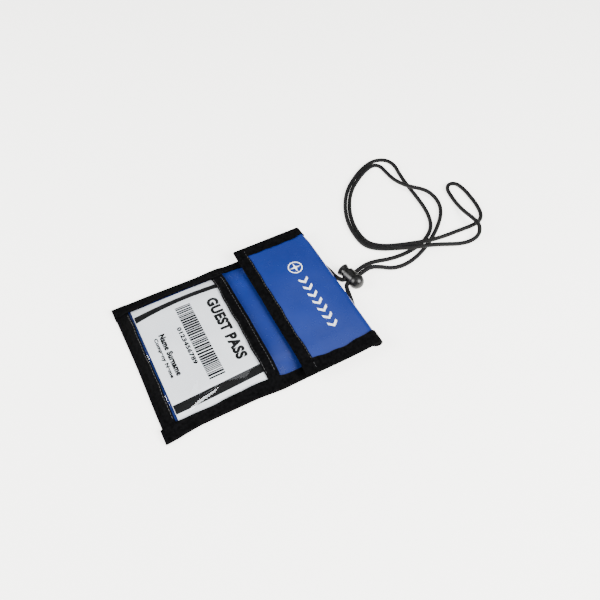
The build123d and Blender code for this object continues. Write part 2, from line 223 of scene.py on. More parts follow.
def card_stock():
    """White board with a faint fibre and a light grey cast in places."""
    m = Nodes("card_stock", (0.8, 0.8, 0.8), 0.5)
    place = m.place()
    m.link(m.ramp(m.noise(place, 30, 2.0), (0.3, (0.8, 0.8, 0.81)), (0.7, (0.88, 0.88, 0.88))),
           "Base Color")
    m.bump((m.noise(place, 0.7, 3.0), 0.01))
    return m.material


def ink(name, color, roughness=0.45):
    """Printed ink, slightly uneven."""
    m = Nodes(name, color, roughness, Specular_IOR_Level=0.1)
    place = m.place()
    thin = tuple(min(1, c * 1.3 + 0.002) for c in color)
    m.link(m.ramp(m.noise(place, 1.5, 3.0), (0.4, color), (0.8, thin)), "Base Color")
    m.bump((m.noise(place, 0.4, 2.0), 0.01))
    return m.material


def braided_cord():
    """Black round braid: two families of strands that cross on the tube's unrolled surface, with
    painted shade in the grooves between them.
    """
    m = Nodes("black_cord", (0.004, 0.004, 0.004), 0.6, Specular_IOR_Level=0.12)
    split = m.add("SeparateXYZ", {"Vector": m.place(uv=True)}).outputs
    slant = math.tan(math.radians(BRAID_ANGLE))
    cells, ridges = [], []
    for way in (1, -1):
        line = m.math("ADD", m.math("MULTIPLY", split["X"], slant),
                      m.math("MULTIPLY", split["Y"], way))
        line = m.math("DIVIDE", line, CORD_AROUND / BRAID_STRANDS)
        cells.append(m.math("FLOOR", line, 0))
        ridges.append(m.math("SINE", m.math("MULTIPLY", m.math("FRACT", line, 0), math.pi), 0))
    first_on_top = m.math("PINGPONG", m.math("ADD", *cells), 1)
    braid = m.math("ADD", m.math("MULTIPLY", ridges[0], first_on_top),
                   m.math("MULTIPLY", ridges[1], m.math("SUBTRACT", 1, first_on_top)))
    # painted shade: the colour follows the braid's height, darker in the grooves between strands and
    # lighter on their crests
    m.link(m.ramp(braid, (0.2, (0.001, 0.001, 0.001)), (0.95, (0.009, 0.009, 0.0095))), "Base Color")
    m.bump((braid, 0.35), (m.noise(m.place(), 0.35, 2.0), 0.05))
    return m.material


def moulded_plastic():
    """Black satin plastic with a fine moulded grain and small scuffs."""
    m = Nodes("black_plastic", (0.005, 0.005, 0.005), 0.34, Specular_IOR_Level=0.35)
    place = m.place()
    wear = m.noise(place, 3, 5.0, 0.7)
    m.link(m.ramp(wear, (0.4, (0.003, 0.003, 0.003)), (0.8, (0.01, 0.01, 0.0105))), "Base Color")
    m.link(m.ramp(wear, (0.35, 0.27), (0.75, 0.42)), "Roughness")
    m.bump((m.noise(place, 0.35, 2.0), 0.015))
    return m.material


def fuzzy_patch(name, size, depth):
    """Black nylon hooks or loops."""
    m = Nodes(name, (0.012, 0.012, 0.013), 0.85, Sheen_Weight=0.5, Sheen_Roughness=0.5)
    place = m.place()
    cells = m.add("TexVoronoi", {"Vector": place}, Scale=1 / size).outputs["Distance"]
    m.link(m.ramp(cells, (0.1, (0.035, 0.035, 0.037)), (0.8, (0.005, 0.005, 0.005))), "Base Color")
    m.bump((m.noise(place, 3, 3.0), 0.4), (cells, depth))
    return m.material


def sewing_thread():
    """Twisted black polyester thread."""
    m = Nodes("black_thread", (0.02, 0.02, 0.021), 0.5, Sheen_Weight=0.2)
    place = m.place()
    m.link(m.ramp(m.noise(place, 0.5, 2.0), (0.3, (0.012, 0.012, 0.013)), (0.7, (0.04, 0.04, 0.042))),
           "Base Color")
    m.bump((m.noise(place, 0.25, 2.0), 0.05))
    return m.material


def spring_wire():
    """Drawn steel."""
    m = Nodes("spring_steel", (0.55, 0.55, 0.57), 0.3, Metallic=1.0)
    place = m.place()
    m.link(m.ramp(m.noise(place, 0.5, 2.0), (0.3, 0.24), (0.7, 0.4)), "Roughness")
    return m.material


CORD_DIAMETER = 3.8
CORD_AROUND = math.pi * CORD_DIAMETER
BRAID_STRANDS, BRAID_ANGLE = 8, 42

BLUE, BINDING, CLEAR_FILM = dyed_vinyl(), woven_tape(), clear_vinyl()
CARD_WHITE = card_stock()
CARD_BLACK = ink("card_black_ink", (0.002, 0.002, 0.002))
FLAP_WHITE = ink("flap_white_ink", (0.75, 0.77, 0.8), 0.35)
BRAID, PLASTIC, THREAD = braided_cord(), moulded_plastic(), sewing_thread()
LOOPS = fuzzy_patch("loop_pile", 0.5, 0.5)
HOOKS = fuzzy_patch("hook_pile", 0.9, 0.6)
STEEL = spring_wire()


# ---------------------------------------------------------------- shape helpers, in mm
def smooth(start, end, value):
    """0 at start and 1 at end, easing between them; start may be the larger."""
    t = np.clip((value - start) / (end - start), 0, 1)
    return t * t * (3 - 2 * t)


def swells(x, y, reach, height, seed):
    """Gentle rises and dips of a soft sheet, as a few waves that cross."""
    chance = np.random.default_rng(seed)
    total = 0.0
    for _ in range(6):
        turn, phase = chance.uniform(0, 2 * math.pi, 2)
        length = reach * chance.uniform(0.6, 1.6)
        total = total + np.sin((x * np.cos(turn) + y * np.sin(turn)) * 2 * np.pi / length + phase)
    return total * height / 3


def add_mesh(name, points, faces, finish, uv=None):
    """A smooth-shaded mesh piece from points in mm; uv has a pair for each point."""
    mesh = bpy.data.meshes.new(name)
    mesh.from_pydata((np.asarray(points) * MM).tolist(), [], faces)
    if uv is not None:
        layer = mesh.uv_layers.new(name="run")
        corners = np.zeros(len(mesh.loops), int)
        mesh.loops.foreach_get("vertex_index", corners)
        layer.data.foreach_set("uv", np.asarray(uv)[corners].ravel())
    mesh.materials.append(finish)
    mesh.shade_smooth()
    mesh.set_sharp_from_angle(angle=math.radians(50))
    piece = bpy.data.objects.new(name, mesh)
    bpy.context.scene.collection.objects.link(piece)
    return piece


def weld(piece, reach=0.002):
    """Join points that lie on each other, as at a tube's seam."""
    mesh = bmesh.new()
    mesh.from_mesh(piece.data)
    bmesh.ops.remove_doubles(mesh, verts=mesh.verts, dist=reach * MM)
    mesh.to_mesh(piece.data)
    mesh.free()


def grid_faces(rows, columns, start=0):
    """Quads of a grid whose points are numbered row by row."""
    first = (np.arange(rows - 1)[:, None] * columns + np.arange(columns - 1)).ravel() + start
    return np.stack([first, first + 1, first + columns + 1, first + columns], 1).tolist()


def normals(grid):
    """Unit normals of a grid of points."""
    down, along = np.gradient(grid, axis=0), np.gradient(grid, axis=1)
    out = np.cross(along, down)
    return out / np.maximum(np.linalg.norm(out, axis=2, keepdims=True), 1e-9)


def run_lengths(grid):
    """Each grid point's distance along the rows and across the columns, in mm."""
    step_down = np.linalg.norm(np.diff(grid, axis=0), axis=2).mean(1)
    step_across = np.linalg.norm(np.diff(grid, axis=1), axis=2).mean(0)
    down = np.concatenate([[0], np.cumsum(step_down)])
    across = np.concatenate([[0], np.cumsum(step_across)])
    return np.stack(np.meshgrid(down, across, indexing="ij"), 2)


def shell(name, grid, thickness, finish):
    """A closed sheet: grid is its outer side, and the inner side lies thickness behind it."""
    rows, columns = grid.shape[:2]
    inner = grid - normals(grid) * thickness
    count = rows * columns
    faces = [face[::-1] for face in grid_faces(rows, columns)] + grid_faces(rows, columns, count)
    index = np.arange(count).reshape(rows, columns)
    rim = np.concatenate([index[0], index[1:, -1], index[-1, -2::-1], index[-2:0:-1, 0]])
    for here, there in zip(rim, np.roll(rim, -1)):
        faces.append([int(here), int(there), int(there) + count, int(here) + count])
    points = np.concatenate([grid.reshape(-1, 3), inner.reshape(-1, 3)])
    uv = run_lengths(grid).reshape(-1, 2)
    return add_mesh(name, points, faces, finish, np.concatenate([uv, uv]))


# ---------------------------------------------------------------- heights of the layers
RIM_Z, MIDDLE_Z = 1.8, 7.0


def front_z(x, y):
    """Top of the blue front panel."""
    crown = (1 - smooth(38, HALF - 0.5, np.abs(x))) * smooth(LOW_Y + 1.5, LOW_Y + 12, y)
    return RIM_Z + (MIDDLE_Z - RIM_Z) * crown + swells(x, y, 34, 0.16, 3) * (0.25 + crown)


WINDOW_TOP_GAP = 0.65       # added room between card and window, near the window's top edge
CREASE_HEIGHT, CREASE_REACH, CREASE_FADE = 0.7, 1.7, 9
# where the clear window is creased: places along each crease
CREASES = [
    [(26, -51), (33.6, -54.4), (37.7, -58.4), (41.2, -63.1), (47.5, -70), (50, -76)],
    [(39, -28), (40, -33.7), (43.5, -44), (45.3, -55.6), (47.3, -62.9), (51, -70)],
]


def crease(x, y, line, reach):
    """1 on a creased line, falling away over reach mm and near its two ends."""
    nearest = np.full(np.shape(x), np.inf)
    for (x0, y0), (x1, y1) in zip(line, line[1:]):
        part = np.clip(((x - x0) * (x1 - x0) + (y - y0) * (y1 - y0))
                       / ((x1 - x0) ** 2 + (y1 - y0) ** 2), 0, 1)
        nearest = np.minimum(nearest, np.hypot(x - x0 - part * (x1 - x0),
                                               y - y0 - part * (y1 - y0)))
    ends = [np.hypot(x - x0, y - y0) for x0, y0 in (line[0], line[-1])]
    return np.exp(-(nearest / reach) ** 2) * smooth(0, CREASE_FADE, np.minimum(*ends))


def window_z(x, y):
    """Top of the clear window over the card."""
    gap = 0.6 + 1.2 * smooth(HALF, TAPE_IN_X - 3, np.abs(x)) * smooth(LOW_Y, LOW_Y + 12, y)
    gap = gap + WINDOW_TOP_GAP * smooth(-16, 0, y)
    ridges = CREASE_HEIGHT * sum(crease(x, y, line, CREASE_REACH) for line in CREASES)
    return front_z(x, y) + gap + swells(x, y, 26, 0.12, 8) * (gap - 0.5) + ridges


PULL_IN, PULLED_FROM_X = 2.2, 54
PULL_STARTS_Y, PULL_ENDS_Y = (-88, -58), (15, -22)


def drawn_in(x, y):
    """Where a place across the pouch ends up: its right edge is pulled in below the middle."""
    pulled = smooth(*PULL_STARTS_Y, y) * smooth(*PULL_ENDS_Y, y)
    return x - PULL_IN * smooth(PULLED_FROM_X, HALF, x) * pulled


def lift_z(y):
    """Middle of the back vinyl, which rises to the fold over the cord's ends."""
    return 0.9 + (LIFTED_Z + 0.3 - 0.9) * smooth(68, 78.5, y)


# ---------------------------------------------------------------- one blue sheet: back, fold and flap
ROLL_RADIUS = ROLL_Z - LIFTED_Z - 0.3
FLAP_Z = ROLL_Z + ROLL_RADIUS
FLAP_SHIFT = 0.6
# how far the fold stands out, as a share of a half round's reach, and how much less at its left
FOLD_BULGE, LEFT_BULGE_LOSS = 1.35, 0.75


def blue_spine():
    """Heights along the blue sheet from the pouch's bottom edge round to the flap's front."""
    back_y = np.arange(LOW_Y + 0.8, ROLL_Y, 1.0)
    turn = np.linspace(0, np.pi, 25)
    flap_y = np.arange(ROLL_Y - 1, FLAP_FRONT_Y + 0.8, -1.0)
    y = np.concatenate([back_y, ROLL_Y + ROLL_RADIUS * np.sin(turn), flap_y])
    z = np.concatenate([lift_z(back_y), ROLL_Z - ROLL_RADIUS * np.cos(turn), flap_y * 0 + FLAP_Z])
    run = np.concatenate([[0], np.cumsum(np.hypot(np.diff(y), np.diff(z)))])
    return run, y, z


SPINE_RUN, SPINE_Y, SPINE_Z = blue_spine()
BLUE_LENGTH = SPINE_RUN[-1]
FLAP_RUN = BLUE_LENGTH - (ROLL_Y - FLAP_FRONT_Y - 0.8)      # where the flat flap starts
FOLD_RUN = FLAP_RUN - math.pi * ROLL_RADIUS                 # where the fold starts


def blue_point(share, run, out):
    """A point on the blue sheet: share is -1 to 1 across it, run goes from the pouch's bottom
    edge round to the flap's front, and out is the height above its middle, outwards."""
    y = np.interp(run, SPINE_RUN, SPINE_Y)
    z = np.interp(run, SPINE_RUN, SPINE_Z)
    run_before, run_after = run - 0.6, run + 0.6
    dy = np.interp(run_after, SPINE_RUN, SPINE_Y) - np.interp(run_before, SPINE_RUN, SPINE_Y)
    dz = np.interp(run_after, SPINE_RUN, SPINE_Z) - np.interp(run_before, SPINE_RUN, SPINE_Z)
    size = np.hypot(dy, dz)
    onto_flap = smooth(FOLD_RUN - 6, FOLD_RUN + 4, run)
    half = HALF - 0.8 + (FLAP_HALF - HALF) * onto_flap
    x = share * half
    x = np.where(run < FOLD_RUN, drawn_in(x, y), x) + FLAP_SHIFT * onto_flap
    bulge = FOLD_BULGE - LEFT_BULGE_LOSS * smooth(-0.7, -1, share)
    y = y + (bulge - 1) * np.maximum(y - ROLL_Y, 0)
    flat_flap = smooth(FLAP_RUN, FLAP_RUN + 20, run)
    out = out + flat_flap * (0.35 * smooth(FLAP_RUN + 20, BLUE_LENGTH, run)
                             - 1.2 * smooth(0.66, 1.0, share)
                             + swells(x, run, 45, 0.2, 11))
    return np.stack([x, y + out * dz / size, z - out * dy / size], -1)


share, run = np.meshgrid(
    np.linspace(-1, 1, 96),
    np.concatenate([np.arange(0, FOLD_RUN - 16, 2.0), np.linspace(FOLD_RUN - 16, FLAP_RUN, 44),
                    np.arange(FLAP_RUN + 1, BLUE_LENGTH, 1.2), [BLUE_LENGTH]]),
    indexing="ij",
)
blue_grid = blue_point(share, run, VINYL / 2)
back_and_flap = shell("back_and_flap_vinyl", blue_grid, VINYL, BLUE)
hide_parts("back_panel", "fold_strip", "flap_panel")

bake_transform(back_and_flap)

# ---------------------------------------------------------------- front panel and window
across, along = np.meshgrid(
    np.arange(-HALF + 0.9, HALF - 0.8, 1.25), np.arange(LOW_Y + 0.9, MOUTH_Y - 0.5, 1.25),
    indexing="ij",
)
front_grid = np.stack([drawn_in(across, along), along, front_z(across, along)], 2)
front = shell("front_vinyl", front_grid, -VINYL, BLUE)
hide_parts("front_panel")
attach(front, "pouch")

across, along = np.meshgrid(
    np.arange(-HALF + 0.9, HALF - 0.8, 1.0), np.arange(LOW_Y + 0.9, WINDOW_TOP_Y - 0.5, 1.0),
    indexing="ij",
)
window_grid = np.stack([drawn_in(across, along), along, window_z(across, along)], 2)
window = shell("window_film", window_grid, -0.3, CLEAR_FILM)
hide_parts("window_sheet")
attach(window, "pouch")


# ---------------------------------------------------------------- tapes folded over edges
def fold_over(lower, upper, out):
    """A tape round an edge: lower and upper are its outer sides from the edge inwards, one row
    for each place along it, and out points away from the sheet."""
    middle = (lower[:, :1] + upper[:, :1]) / 2
    reach = (upper[:, :1] - lower[:, :1]) / 2
    bulge = np.linalg.norm(reach, axis=2, keepdims=True) * np.asarray(out)
    turn = np.linspace(-np.pi / 2, np.pi / 2, 9)[1:-1, None]
    arc = middle + reach * np.sin(turn) + bulge * np.cos(turn)
    return np.concatenate([lower[:, ::-1], arc, upper], 1)


def side_support(x, y):
    """What the side binding's top layer lies on: window, then front panel, then back."""
    back = lift_z(y) + VINYL / 2
    front_top = back + (front_z(x, y) - back) * smooth(67, 59, y)
    return front_top + (window_z(x, y) - front_top) * smooth(13, 4, y)


SIDE_TOP_Y = 80.0
LEFT_NARROWING = 1.3        # the left tape shows less of itself beside the window
CARD_ROOM = 1.9             # both tapes stay clear of the card as it slides out


def side_binding(side):
    """Binding along one side of the body, from past the bottom edge up to the fold."""
    y = np.arange(LOW_Y - 0.9 - (side > 0), SIDE_TOP_Y, 1.25)[:, None]
    inward = np.linspace(0, 1, 11)[None, :]
    wander = 0.3 * np.sin(y / 9.0 + side) + 0.2 * np.sin(y / 3.7 + 2 * side)
    outer_x = HALF - 1.3 + 0.35 * np.sin(y / 21 + 1.7 * side)
    narrowing = LEFT_NARROWING * smooth(-88, -52, y) * smooth(0, -30, y) * (side < 0)
    card_room = CARD_ROOM * smooth(3, 8, y) * smooth(44, 38, y)
    x = side * (outer_x - inward * (outer_x - TAPE_IN_X - narrowing - card_room - wander))
    y = y + 0 * x
    corner = smooth(TAPE_IN_Y + 1.5, TAPE_IN_Y - 1, y)
    top = side_support(x, y) + TAPE + 0.45 * corner
    under = np.maximum(lift_z(y) - VINYL / 2 - TAPE, 0.02)
    upper = np.stack([drawn_in(x, y), y, top], 2)
    lower = np.stack([drawn_in(x, y), y, under + 0 * x], 2)
    grid = fold_over(lower, upper, (side, 0, 0))
    return grid[::side], upper


binding = {}
for side, name in ((-1, "left"), (1, "right")):
    grid, upper = side_binding(side)
    piece = shell(f"{name}_side_binding", grid, TAPE - 0.05, BINDING)
    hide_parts(f"{name}_binding_tape")
    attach(piece, "pouch")
    binding[name] = upper


def keep_tape(name, grid, node_names, body="pouch"):
    """Make a tape piece from its outer grid, in place of its CAD nodes."""
    piece = shell(name, grid, TAPE - 0.05, BINDING)
    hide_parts(*node_names)
    if body:
        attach(piece, body)
    return piece


# bottom binding, which runs under the side bindings' ends
across = np.linspace(-HALF + 0.9, HALF - 0.9, 101)[:, None]
inward = np.linspace(0, 1, 11)[None, :]
wander = 0.3 * np.sin(across / 8.0) + 0.2 * np.sin(across / 3.1 + 1)
edge_y = LOW_Y + 1.3 + 0.3 * np.sin(across / 17.0 + 2)
y = edge_y + inward * (TAPE_IN_Y - edge_y + wander)
x = across + 0 * y
beneath = 0.02 + 0.5 * smooth(TAPE_IN_X - 1, TAPE_IN_X + 1, np.abs(x))
bottom_upper = np.stack([drawn_in(x, y), y, window_z(x, y) + TAPE], 2)
bottom_grid = fold_over(np.stack([drawn_in(x, y), y, beneath], 2), bottom_upper, (0, -1, 0))
keep_tape("bottom_binding", bottom_grid[::-1], ["bottom_binding_tape"])


def edge_binding(surface, top_y, low_y, sheet, seed):
    """A tape folded over the free top edge of a sheet on the front."""
    reach = TAPE_IN_X + 0.5
    across = np.linspace(-reach, reach, 101)[:, None]
    wander = 0.25 * np.sin(across / 7.0 + seed) + 0.15 * np.sin(across / 2.9 + 2 * seed)
    edge_y = top_y - 0.8 + 0.25 * np.sin(across / 19.0 + seed)
    y = edge_y - inward * (edge_y - low_y - wander)
    x = across + 0 * y
    top = surface(x, y)
    upper = np.stack([x, y, top + TAPE - 0.02], 2)
    lower = np.stack([x, y, top - sheet - TAPE], 2)
    return fold_over(lower, upper, (0, 1, 0)), upper


window_edge, window_upper = edge_binding(window_z, WINDOW_TOP_Y, WINDOW_TAPE_Y, 0.3, 1)
keep_tape("window_edge_binding", window_edge, ["window_top_tape"])
hem, hem_upper = edge_binding(front_z, MOUTH_Y, HEM_Y, VINYL, 4)
keep_tape("pocket_mouth_binding", hem, ["pocket_hem_tape"])

# ---------------------------------------------------------------- tapes on the flap and the fold
OUTSIDE = VINYL / 2 + TAPE


def flap_side_binding(side):
    """One strip from under the fold's end, round it and along the flap's side."""
    run = np.concatenate([np.linspace(FOLD_RUN - 5, FLAP_RUN + 2, 46),
                          np.arange(FLAP_RUN + 3.2, BLUE_LENGTH, 1.25), [BLUE_LENGTH]])[:, None]
    wander = 0.012 * np.sin(run / 8.0 + side) + 0.006 * np.sin(run / 2.7 + 2 * side)
    step = 0.016 * smooth(-0.8, 0.8, BLUE_LENGTH - 31 - run) if side < 0 else 0
    narrow = 1 - 0.147 + wander + step
    share = side * (1 - inward * (1 - narrow))
    run = run + 0 * share
    upper = blue_point(share, run, OUTSIDE)
    lower = blue_point(share, run, -OUTSIDE)
    grid = fold_over(lower, upper, (side, 0, 0))
    return grid[::-side], upper


for side, name in ((-1, "left"), (1, "right")):
    grid, upper = flap_side_binding(side)
    piece = keep_tape(f"{name}_flap_binding", grid,
                      [f"{name}_fold_tape", f"flap_{name}_tape"], None)
    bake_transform(piece)
    binding[name + "_flap"] = upper

share = np.linspace(-1.006, 1.006, 110)[:, None]
wander = 0.3 * np.sin(share * 9.0 + 1) + 0.18 * np.sin(share * 23.0)
over_ends = 0.4 * smooth(0.84, 0.87, np.abs(share))
depth = (FLAP_BAND_Y - FLAP_FRONT_Y - 0.8 + wander) * inward
run = BLUE_LENGTH + 0.15 * np.sin(share * 7) - depth
share = share + 0 * run
flap_front_upper = blue_point(share, run, OUTSIDE + over_ends)
flap_front_lower = blue_point(share, run, -OUTSIDE - 0.5 * over_ends)
flap_front = fold_over(flap_front_lower, flap_front_upper, (0, -1, 0))
keep_tape("flap_front_binding", flap_front[::-1], ["flap_front_tape"], "flap")


# ---------------------------------------------------------------- stitches
def stitch_rows(name, rows, body, blend=False):
    """Lines of sewn stitches, each row a pair of points along it and the way up from the tape."""
    points, faces = [], []
    shape = np.array([(-1.15, 0.03, -0.1), (-0.8, 0.17, 0.02), (0, 0.2, 0.07), (0.8, 0.17, 0.02),
                      (1.15, 0.03, -0.1)])
    turn = np.arange(6) * math.pi / 3
    for line, up in rows:
        run = np.concatenate([[0], np.cumsum(np.linalg.norm(np.diff(line, axis=0), axis=1))])
        for middle in np.arange(2.0, run[-1] - 1.5, 2.9):
            here, there = ([np.interp(middle + d, run, line[:, k]) for k in range(3)]
                           for d in (-0.5, 0.5))
            rise = np.array([np.interp(middle, run, up[:, k]) for k in range(3)])
            way = np.array(there) - here
            way /= np.linalg.norm(way)
            sideways = np.cross(rise, way)
            centre = (np.array(here) + there) / 2
            start = len(points)
            for along, radius, height in shape:
                ring = (centre + way * along + rise * height + radius * (
                    np.cos(turn)[:, None] * sideways + np.sin(turn)[:, None] * rise))
                points.extend(ring)
            for k in range(len(shape) - 1):
                for j in range(6):
                    a, b = start + 6 * k + j, start + 6 * k + (j + 1) % 6
                    faces.append([a, b, b + 6, a + 6])
            faces.append([start + j for j in range(5, -1, -1)])
            faces.append([start + 6 * (len(shape) - 1) + j for j in range(6)])
    piece = add_mesh(name, points, faces, THREAD)
    if blend:
        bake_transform(piece)
    else:
        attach(piece, body)
    return piece


def seam(upper, column=-2, turned=False, skip=0):
    """A line of points along a tape near its inner edge, with the way up at each."""
    up = normals(upper)[:, column]
    up = up * np.sign(up[len(up) // 2, 2] or 1)
    line = upper[:, column]
    return line[skip:len(line) - skip], up[skip:len(up) - skip]


stitch_rows("body_stitches", [
    seam(binding["left"], skip=3), seam(binding["right"], skip=3), seam(bottom_upper, skip=9),
    seam(window_upper, skip=2), seam(window_upper, column=2, skip=2), seam(hem_upper, skip=2),
], "pouch")
stitch_rows("flap_front_stitches", [seam(flap_front_upper, skip=2)], "flap")


def outward_seam(upper, skip):
    """The same on a tape that goes round the fold, where up turns with it."""
    line = upper[:, -2]
    across = upper[:, -2] - upper[:, -4]
    along = np.gradient(line, axis=0)
    up = np.cross(across, along)
    up /= np.linalg.norm(up, axis=1, keepdims=True)
    up = up * np.sign(up[-5, 2])
    return line[skip:-6], up[skip:-6]


stitch_rows("flap_side_stitches", [outward_seam(binding["left_flap"], 3),
                                   outward_seam(binding["right_flap"], 3)], "flap", blend=True)

# ---------------------------------------------------------------- hook and loop closure
PATCH_LOW, PATCH_HIGH = box_mm("loop_patch")


def patch_grid():
    """Places over a closure patch, in mm."""
    return np.meshgrid(np.linspace(PATCH_LOW[0], PATCH_HIGH[0], 81),
                       np.linspace(PATCH_LOW[1], PATCH_HIGH[1], 33), indexing="ij")


across, along = patch_grid()
edge = np.minimum(np.minimum(across - PATCH_LOW[0], PATCH_HIGH[0] - across),
                  np.minimum(along - PATCH_LOW[1], PATCH_HIGH[1] - along))
pile = np.random.default_rng(5).uniform(-0.09, 0.09, across.shape) - 0.35 * smooth(1.2, 0, edge)
loop_grid = np.stack([across, along, front_z(across, along) + 1.15 + pile], 2)
loop = shell("loop_pad", loop_grid, -1.1, LOOPS)
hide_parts("loop_patch")
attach(loop, "pouch")

share = (across - FLAP_SHIFT) / (FLAP_HALF - 0.8)
hook_grid = blue_point(share, BLUE_LENGTH - (along - FLAP_FRONT_Y - 0.8), -VINYL / 2 - 1.5 - pile)
hook = shell("hook_pad", hook_grid, 1.4, HOOKS)
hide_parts("hook_patch")
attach(hook, "flap")

# ---------------------------------------------------------------- insert card and its print
CARD_LIFT = 0.95


def card_z(x, y):
    """Top of the card, which bends over the pouch's sides."""
    crown = (1 - smooth(38, HALF - 0.5, np.abs(x))) * smooth(LOW_Y + 1.5, LOW_Y + 12, y)
    return RIM_Z + (MIDDLE_Z - RIM_Z) * crown + CARD_LIFT


across, along = np.meshgrid(np.linspace(CARD_LOW[0], CARD_HIGH[0], 109),
                            np.linspace(CARD_LOW[1], CARD_HIGH[1], 77), indexing="ij")
card = shell("visitor_card", np.stack([across, along, card_z(across, along)], 2), -0.45, CARD_WHITE)
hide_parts("insert_card")
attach(card, "card")


def on_card(flat):
    """Flat print points laid just on the card."""
    x, y = np.asarray(flat)[:, 0], np.asarray(flat)[:, 1]
    return np.stack([x, y, card_z(x, y) + 0.04], 1)


def lettering(words, x_range, y_range, bold=0.0):
    """Words as flat points and faces that fill a box in mm."""
    text = bpy.data.curves.new("words", "FONT")
    text.body, text.offset, text.resolution_u = words, bold, 4
    text.space_character = 1 + 1.5 * bold
    holder = bpy.data.objects.new("words", text)
    bpy.context.scene.collection.objects.link(holder)
    bpy.context.view_layer.update()
    mesh = bpy.data.meshes.new_from_object(
        holder.evaluated_get(bpy.context.evaluated_depsgraph_get()))
    flat = np.array([point.co[:2] for point in mesh.vertices])
    faces = [list(face.vertices) for face in mesh.polygons]
    bpy.data.objects.remove(holder)
    bpy.data.curves.remove(text)
    bpy.data.meshes.remove(mesh)
    low, high = flat.min(0), flat.max(0)
    corner, size = np.array([x_range[0], y_range[0]]), np.ptp([x_range, y_range], axis=1)
    return corner + (flat - low) / (high - low) * size, faces


def bars(x_ranges, y_range, steps=6):
    """Upright bars as flat points and faces."""
    points, faces = [], []
    for low, high in x_ranges:
        x, y = np.meshgrid([low, high], np.linspace(*y_range, steps), indexing="ij")
        faces += [face[::-1] for face in grid_faces(2, steps, len(points))]
        points += np.stack([x, y], 2).reshape(-1, 2).tolist()
    return np.array(points), faces


def barcode(x_range, y_range):
    """A made-up barcode: bars of two to four modules and narrower gaps."""
    chance = np.random.default_rng(21)
    widths = chance.choice([2, 3, 4], 71)
    widths[1::2] = chance.choice([1, 1, 2], 35)
    edges = np.concatenate([[0], np.cumsum(widths)])
    edges = x_range[0] + edges / edges[-1] * (x_range[1] - x_range[0])
    return bars(list(zip(edges[0::2], edges[1::2])), y_range)


prints = [
    ("card_heading", lettering("GUEST PASS", (-34, 29), (-17.5, -8), 0.06)),
    ("card_barcode", barcode((-37.6, 34.3), (-42.3, -29.5))),
    ("card_number", lettering("0123456789", (-19.7, 17.2), (-47.9, -44.1), 0.055)),
    ("card_name", lettering("Name Surname", (-19.8, 20.4), (-63.0, -57.8), 0.07)),
    ("card_company", lettering("Company Name", (-18.2, 20.2), (-68.0, -64.2), 0.06)),
]
down = np.linspace(CARD_LOW[1] + 0.3, CARD_HIGH[1] - 0.3, 60)
for name, inner, outer in (
    ("card_left_band", [-38.5, -42.8, -41.5], [-45.3, -48.1, -46.8]),
    ("card_right_band", [41.3, 40.6, 39.6], [48.2, 47.8, 46.7]),
):
    places = (-73, -40, -6)
    sides = [np.polyval(np.polyfit(places, values, 2), down) for values in (inner, outer)]
    part = np.linspace(0, 1, 9)[None, :]
    x = sides[0][:, None] * (1 - part) + sides[1][:, None] * part
    flat = np.stack([x, down[:, None] + 0 * x], 2).reshape(-1, 2)
    faces = grid_faces(len(down), part.size)
    if outer[0] > 0:
        faces = [face[::-1] for face in faces]
    prints.append((name, (flat, faces)))
for name, (flat, faces) in prints:
    piece = add_mesh(name, on_card(flat), faces, CARD_BLACK)
    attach(piece, "card")


# ---------------------------------------------------------------- white mark on the flap
def on_flap(flat):
    """Flat points laid just on the flap; x and y are where they lie on the closed pouch."""
    x, y = flat[..., 0], flat[..., 1]
    share = (x - FLAP_SHIFT) / (FLAP_HALF - 0.8)
    return blue_point(share, BLUE_LENGTH - (y - FLAP_FRONT_Y - 0.8), VINYL / 2 + 0.05)


def strip_between(first, second):
    """Flat points and faces of a strip between two lines of as many points."""
    points = np.stack([first, second], 1)
    return points.reshape(-1, 2), grid_faces(len(first), 2)


def compass(centre, radius):
    """A ring with a four-pointed star in it."""
    turn = np.linspace(0, 2 * math.pi, 65)
    circle = np.stack([np.cos(turn), np.sin(turn)], 1)
    yield strip_between(centre + circle * radius, centre + circle * (radius - 0.9))
    corner = np.arange(9) * math.pi / 4 + math.pi / 2
    reach = np.where(np.arange(9) % 2, 0.2, 0.78) * radius
    star = centre + np.stack([np.cos(corner), np.sin(corner)], 1) * reach[:, None]
    yield (np.concatenate([star[:8], [centre]]),
           [[k, (k + 1) % 8, 8] for k in range(8)])


def chevron(x, y, tall, wide, thick):
    """An arrowhead stroke that points along +x."""
    part = np.array([0, 0.5, 1, 1.5, 2])
    level = y + tall / 2 * (part - 1)
    nose = x + wide * (1 - np.abs(part - 1))
    return strip_between(np.stack([nose + thick, level], 1), np.stack([nose, level], 1))


mark_points, mark_faces = [], []
shapes = list(compass(np.array([-27.5, 61.6]), 6.2))
shapes += [chevron(x, 61.6, 8.0, 3.6, 2.6) for x in np.arange(-15, 36, 8.0)]
for flat, faces in shapes:
    mark_faces += [[corner + len(mark_points) for corner in face] for face in faces]
    mark_points += on_flap(np.asarray(flat, float)).tolist()
mark = add_mesh("flap_print", mark_points, mark_faces, FLAP_WHITE)
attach(mark, "flap")

# ---------------------------------------------------------------- neck cord
LOCK_TURN = math.radians(13.0)      # how far the cord through the lock leans left of +Y
BALL_CENTRE = Vector((6.4, 101.7, 6.5))
SLOT_FROM_BALL = 5.5
STRAND_OFFSET = 2.15
BEFORE_LOCK, PAST_LOCK = -7.6, 19.5
plunger_way = Vector((-math.cos(LOCK_TURN), -math.sin(LOCK_TURN), 0))
cord_way = Vector((-math.sin(LOCK_TURN), math.cos(LOCK_TURN), 0))
slot_centre = BALL_CENTRE + plunger_way * SLOT_FROM_BALL


def on_strand(side, distance):
    """A point on a strand's straight line through the lock, by distance from the slot."""
    return tuple(slot_centre - plunger_way * (side * STRAND_OFFSET) + cord_way * distance)


